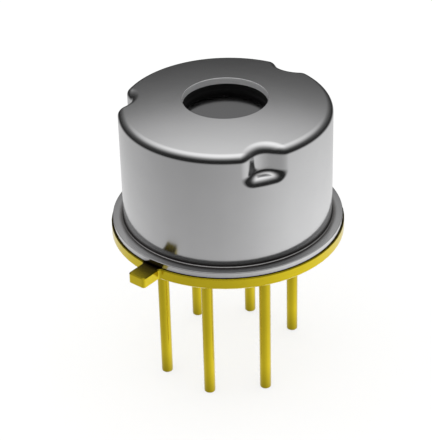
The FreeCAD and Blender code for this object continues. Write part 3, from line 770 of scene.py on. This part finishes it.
class SENSOR_OT_seals(bpy.types.Operator):
    """Makes the dark glass seals round the leads"""

    bl_idname = "sensor.seals"
    bl_label = "Glass seals"

    def execute(self, context):
        sizes = context.scene.sensor_sizes
        glass = speckled(
            "fused_glass", (0.010, 0.018, 0.020), (0.020, 0.034, 0.036), 0.12, 3000.0, 0.002 * MM, coat=0.6)
        middle, low, high = box_sizes("glass_seal_1")
        lead_low, lead_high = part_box("lead_1")
        inner = (lead_high.x - lead_low.x) / 2
        outer = (high.x - low.x) / 2
        circle = math.hypot(middle.x, middle.y)
        outline = self.outline(inner, outer, low.z, high.z, sizes.meniscus)
        mesh = turned_mesh("seal", outline, sizes.lead_sides, closed=True)
        seals = grown(ring_tree(), mesh, {**RING, "Circle radius": circle, "Finish": glass})
        add_piece("glass_seals", seals, ["glass_seal_" + number for number in SEALED])
        return {"FINISHED"}

    def outline(self, inner, outer, bottom, top, meniscus, steps=8):
        """The seal's section, with glass that climbs the metal on both sides to just short of its face."""
        points = []
        for surface, sign, order in ((bottom, -1, 1), (top, 1, -1)):
            row = []
            for step in range(steps + 1):
                share = step / steps
                climb = 0.98 * meniscus * (2 * share - 1) ** 4
                row.append((inner + (outer - inner) * share, surface + sign * climb))
            points += row[::order]
        return points


class SENSOR_OT_window(bpy.types.Operator):
    """Finishes the coated filter and the bond that holds it"""

    bl_idname = "sensor.window"
    bl_label = "Window"

    def execute(self, context):
        sizes = context.scene.sensor_sizes
        colour = tuple(context.scene.sensor_finishes.window)
        bright = tuple(1.06 * value for value in colour)
        coated = speckled("coated_silicon", colour, bright, 0.13, 700.0, metallic=1.0)
        epoxy = speckled(
            "dark_epoxy", (0.003, 0.003, 0.003), (0.008, 0.008, 0.008), 0.5, 4000.0, 0.004 * MM,
            specular=0.15)
        slab, bead = self.slab(sizes), self.bead(sizes)
        slab.materials.append(coated)
        bead.materials.append(epoxy)
        add_piece("window", slab, ["filter_window"])
        add_piece("window_bond", bead, ["filter_bond"])
        return {"FINISHED"}

    def slab(self, sizes):
        """The square filter with finely bevelled edges, set a little into its bond."""
        low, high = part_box("filter_window")
        turn = sizes.window_turn
        half = (high.x - low.x) / 2 / (abs(math.cos(turn)) + abs(math.sin(turn)))
        form = bmesh.new()
        bmesh.ops.create_grid(form, x_segments=8, y_segments=8, size=half)
        bmesh.ops.recalc_face_normals(form, faces=form.faces)
        top = high.z - sizes.window_set
        bmesh.ops.translate(form, verts=form.verts, vec=(0, 0, top))
        rim = [edge for edge in form.edges if edge.is_boundary]
        lower = bmesh.ops.extrude_edge_only(form, edges=rim)["geom"]
        corners = [item for item in lower if isinstance(item, bmesh.types.BMVert)]
        bmesh.ops.translate(form, verts=corners, vec=(0, 0, low.z - top))
        rim = [item for item in lower if isinstance(item, bmesh.types.BMEdge)]
        bmesh.ops.contextual_create(form, geom=rim)
        sharp = [edge for edge in form.edges if edge.calc_face_angle(0) > 1]
        bmesh.ops.bevel(
            form, geom=sharp, offset=sizes.window_edge, segments=2, affect="EDGES", profile=0.5)
        bmesh.ops.recalc_face_normals(form, faces=form.faces)
        mesh = bpy.data.meshes.new("slab")
        form.to_mesh(mesh)
        form.free()
        mesh.transform(Matrix.Rotation(turn, 4, "Z"))
        return mesh

    def bead(self, sizes, steps=6):
        """The ring of epoxy, slightly hollow where it meets the light."""
        low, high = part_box("filter_bond")
        outer = (high.x - low.x) / 2
        inner = outer - sizes.bond_width
        bottom = low.z - sizes.window_set
        outline = [(outer, bottom), (outer, low.z + 0.10 * MM), (inner + 0.05 * MM, high.z - 0.01 * MM)]
        for step in range(steps + 1):
            share = step / steps
            hollow = 0.02 * MM * math.sin(math.pi * share)
            outline.append((inner + hollow, high.z - (high.z - bottom) * share))
        return turned_mesh("bead", outline, 128, closed=True)


class SENSOR_OT_chips(bpy.types.Operator):
    """Finishes the chips on the deck, their adhesive and the absorber"""

    bl_idname = "sensor.chips"
    bl_label = "Chips"

    def execute(self, context):
        silicon = self.silicon()
        paste = speckled(
            "silver_paste", (0.42, 0.42, 0.42), (0.62, 0.62, 0.62), 0.5, 9000.0, 0.006 * MM, metallic=0.6)
        black = speckled(
            "absorber_black", (0.010, 0.010, 0.010), (0.022, 0.022, 0.022), 0.9, 12000.0, 0.004 * MM)
        oxide = speckled(
            "sintered_oxide", (0.030, 0.028, 0.028), (0.075, 0.070, 0.068), 0.6, 9000.0, 0.004 * MM)
        for node_name in ("thermopile_chip", "signal_chip"):
            dress(node_name, silicon)
        for node_name in ("thermopile_bond", "signal_bond", "thermistor_bond"):
            dress(node_name, paste)
        dress("absorber", black)
        dress("thermistor_chip", oxide)
        return {"FINISHED"}

    def silicon(self):
        """Polished silicon with the faint blocks of a circuit."""
        material, tree, surface, where = start_material("silicon_die")
        bricks = add_node(tree, "ShaderNodeTexBrick", (-500, 0))
        tree.links.new(where, bricks.inputs["Vector"])
        bricks.inputs["Scale"].default_value = 5200.0
        bricks.inputs["Color1"].default_value = (0.13, 0.14, 0.17, 1.0)
        bricks.inputs["Color2"].default_value = (0.18, 0.17, 0.22, 1.0)
        bricks.inputs["Mortar"].default_value = (0.30, 0.29, 0.26, 1.0)
        bricks.inputs["Mortar Size"].default_value = 0.03
        tree.links.new(bricks.outputs["Color"], surface.inputs["Base Color"])
        surface.inputs["Metallic"].default_value = 0.7
        surface.inputs["Roughness"].default_value = 0.16
        return material


class SENSOR_OT_wires(bpy.types.Operator):
    """Finishes the bond wires in drawn gold"""

    bl_idname = "sensor.wires"
    bl_label = "Bond wires"

    def execute(self, context):
        gold = plated_metal(
            "gold_wire", (0.92, 0.66, 0.20), 0.22, spread=0.03, lines=(9000.0, 9000.0, 9000.0),
            bump=0.0002 * MM)
        for node_name in WIRES:
            dress(node_name, gold)
        return {"FINISHED"}


class SENSOR_OT_stage(bpy.types.Operator):
    """Lays the pale floor, the studio light and the camera"""

    bl_idname = "sensor.stage"
    bl_label = "Stage"

    def execute(self, context):
        stage = context.scene.sensor_stage
        self.floor(context, stage)
        self.world(context)
        self.camera(context, stage)
        context.scene.view_settings.view_transform = "Standard"
        return {"FINISHED"}

    def floor(self, context, stage):
        mesh = bpy.data.meshes.new("floor")
        form = bmesh.new()
        bmesh.ops.create_circle(form, cap_ends=True, radius=stage.floor_radius, segments=96)
        form.to_mesh(mesh)
        form.free()
        mesh.transform(Matrix.Translation((0, 0, CAD_BOX[0][2])))
        floor = bpy.data.objects.new("floor", mesh)
        context.scene.collection.objects.link(floor)
        material = bpy.data.materials.new("pale_floor")
        material.use_nodes = True
        tree = material.node_tree
        tree.nodes.clear()
        output = add_node(tree, "ShaderNodeOutputMaterial", (600, 0))
        matt = add_node(tree, "ShaderNodeBsdfDiffuse", (0, 100))
        matt.inputs["Color"].default_value = (*stage.floor, 1.0)
        clear = add_node(tree, "ShaderNodeBsdfTransparent", (0, -100))
        path = add_node(tree, "ShaderNodeLightPath", (-300, 200))
        choose = add_node(tree, "ShaderNodeMixShader", (300, 0))
        faint = math_node(tree, "MULTIPLY", (-150, 300), path.outputs["Is Camera Ray"], FLOOR_CLEARNESS)
        unseen = math_node(tree, "MAXIMUM", (0, 300), faint, path.outputs["Is Glossy Ray"])
        tree.links.new(unseen, choose.inputs[0])
        tree.links.new(matt.outputs[0], choose.inputs[1])
        tree.links.new(clear.outputs[0], choose.inputs[2])
        tree.links.new(choose.outputs[0], output.inputs["Surface"])
        mesh.materials.append(material)

    def world(self, context):
        """White to the eye and to matt surfaces, and a studio of soft cards in the metal."""
        world = bpy.data.worlds.new("studio")
        context.scene.world = world
        world.use_nodes = True
        world.cycles.sampling_method = "NONE"
        tree = world.node_tree
        tree.nodes.clear()
        output = add_node(tree, "ShaderNodeOutputWorld", (1200, 0))
        white = add_node(tree, "ShaderNodeBackground", (700, 200))
        white.inputs["Color"].default_value = (1, 1, 1, 1)
        white.inputs["Strength"].default_value = WHITE_STRENGTH
        cards = add_node(tree, "ShaderNodeBackground", (700, -100))
        cards.inputs["Strength"].default_value = CARD_PEAK
        tree.links.new(self.cards(tree), cards.inputs["Color"])
        path = add_node(tree, "ShaderNodeLightPath", (700, 500))
        choose = add_node(tree, "ShaderNodeMixShader", (1000, 0))
        tree.links.new(path.outputs["Is Glossy Ray"], choose.inputs[0])
        tree.links.new(white.outputs[0], choose.inputs[1])
        tree.links.new(cards.outputs[0], choose.inputs[2])
        tree.links.new(choose.outputs[0], output.inputs["Surface"])

    def cards(self, tree):
        """How bright the studio is in each direction, as a share of its brightest card."""
        where = add_node(tree, "ShaderNodeTexCoord", (-1300, 0))
        turned = add_node(tree, "ShaderNodeVectorRotate", (-1100, 0), rotation_type="Z_AXIS")
        turned.inputs["Angle"].default_value = -VIEW_TURN
        tree.links.new(where.outputs["Generated"], turned.inputs["Vector"])
        parts = add_node(tree, "ShaderNodeSeparateXYZ", (-950, 0))
        tree.links.new(turned.outputs[0], parts.inputs[0])
        x, y, z = parts.outputs
        rise = math_node(tree, "DIVIDE", (-650, 200), math_node(tree, "ARCSINE", (-800, 200), z), math.pi)
        height = math_node(tree, "ADD", (-500, 200), rise, 0.5)
        turn = math_node(tree, "ARCTAN2", (-800, -200), y, x)
        round_about = math_node(
            tree, "WRAP", (-500, -200), math_node(tree, "DIVIDE", (-650, -200), turn, 2 * math.pi), 0.0)
        round_about.node.inputs[1].default_value = 1.0
        round_about.node.inputs[2].default_value = 0.0
        squares = [math_node(tree, "MULTIPLY", (-950, -450), side, side) for side in (x, y)]
        level = math_node(
            tree, "SQRT", (-650, -500), math_node(tree, "ADD", (-800, -500), squares[0], squares[1]))
        level = math_node(tree, "MAXIMUM", (-600, -600), level, 0.0001)
        away = math_node(tree, "DIVIDE", (-500, -500), y, level)
        behind = add_node(tree, "ShaderNodeMapRange", (-350, -500), interpolation_type="SMOOTHSTEP")
        behind.inputs["From Min"].default_value = -0.8
        behind.inputs["From Max"].default_value = 0.8
        tree.links.new(away, behind.inputs["Value"])
        far = ramp_node(tree, (-250, 500), height, elevation_stops(FAR_SIDE, CARD_PEAK))
        near = ramp_node(tree, (-250, 250), height, elevation_stops(NEAR_SIDE, CARD_PEAK))
        upper = mixed_colour(tree, behind.outputs[0], near, far)
        table = ramp_node(
            tree, (-250, -50), round_about, [(turn / 360, share / CARD_PEAK) for turn, share in TABLE])
        below = ramp_node(tree, (-250, -250), height, elevation_stops(TABLE_FALL, TABLE_PEAK))
        lower = add_node(tree, "ShaderNodeMix", (100, -100), data_type="RGBA", blend_type="MULTIPLY")
        lower.inputs[0].default_value = 1.0
        tree.links.new(table, lower.inputs[6])
        tree.links.new(below, lower.inputs[7])
        raised = add_node(tree, "ShaderNodeVectorMath", (250, -100), operation="SCALE")
        raised.inputs["Scale"].default_value = TABLE_PEAK
        tree.links.new(lower.outputs[2], raised.inputs[0])
        both = add_node(tree, "ShaderNodeVectorMath", (450, 0), operation="ADD")
        tree.links.new(upper, both.inputs[0])
        tree.links.new(raised.outputs[0], both.inputs[1])
        return both.outputs[0]

    def camera(self, context, stage):
        """The photograph's view: 32 degrees down, with a slight roll."""
        back = Vector((0, -math.cos(VIEW_TILT), math.sin(VIEW_TILT)))
        level, upright = Vector((1, 0, 0)), Vector((0, math.sin(VIEW_TILT), math.cos(VIEW_TILT)))
        right = math.cos(VIEW_ROLL) * level + math.sin(VIEW_ROLL) * upright
        up = -math.sin(VIEW_ROLL) * level + math.cos(VIEW_ROLL) * upright
        turn = Matrix.Rotation(VIEW_TURN, 3, "Z")
        place = Matrix((turn @ right, turn @ up, turn @ back)).transposed().to_4x4()
        place.translation = turn @ VIEW_PLACE + Vector((0, 0, VIEW_RISE))
        data = bpy.data.cameras.new("camera")
        data.sensor_width = SENSOR_WIDTH
        data.lens = SENSOR_WIDTH * stage.focal_pixels / IMAGE_HEIGHT
        data.shift_x = -HALF_PIXEL
        data.shift_y = HALF_PIXEL
        data.clip_start = 0.001
        data.clip_end = 10.0
        camera = bpy.data.objects.new("camera", data)
        camera.matrix_world = place
        context.scene.collection.objects.link(camera)
        context.scene.camera = camera


class SENSOR_PT_pieces(bpy.types.Panel):
    """Lists the sensor's pieces and their settings"""

    bl_idname = "SENSOR_PT_pieces"
    bl_label = "Infrared sensor"
    bl_space_type = "VIEW_3D"
    bl_region_type = "UI"
    bl_category = "Sensor"

    def draw(self, context):
        for group in SETTINGS:
            settings = getattr(context.scene, group)
            box = self.layout.box()
            for name in settings.__annotations__:
                box.prop(settings, name)
        for operator in OPERATORS:
            self.layout.operator(operator.bl_idname)


OPERATORS = (
    SENSOR_OT_can, SENSOR_OT_base, SENSOR_OT_leads, SENSOR_OT_seals, SENSOR_OT_window,
    SENSOR_OT_chips, SENSOR_OT_wires, SENSOR_OT_stage,
)
SETTINGS = {
    "can_sizes": CanSizes,
    "sensor_sizes": SensorSizes,
    "sensor_finishes": SensorFinishes,
    "sensor_stage": StageSettings,
}


def register():
    for name, settings in SETTINGS.items():
        bpy.utils.register_class(settings)
        setattr(bpy.types.Scene, name, bpy.props.PointerProperty(type=settings))
    for operator in OPERATORS:
        bpy.utils.register_class(operator)
    bpy.utils.register_class(SENSOR_PT_pieces)


def unregister():
    bpy.utils.unregister_class(SENSOR_PT_pieces)
    for operator in reversed(OPERATORS):
        bpy.utils.unregister_class(operator)
    for name, settings in SETTINGS.items():
        delattr(bpy.types.Scene, name)
        bpy.utils.unregister_class(settings)


def main():
    register()
    bpy.ops.sensor.can()
    bpy.ops.sensor.base()
    bpy.ops.sensor.leads()
    bpy.ops.sensor.seals()
    bpy.ops.sensor.window()
    bpy.ops.sensor.chips()
    bpy.ops.sensor.wires()
    bpy.ops.sensor.stage()


if __name__ == "__main__":
    main()
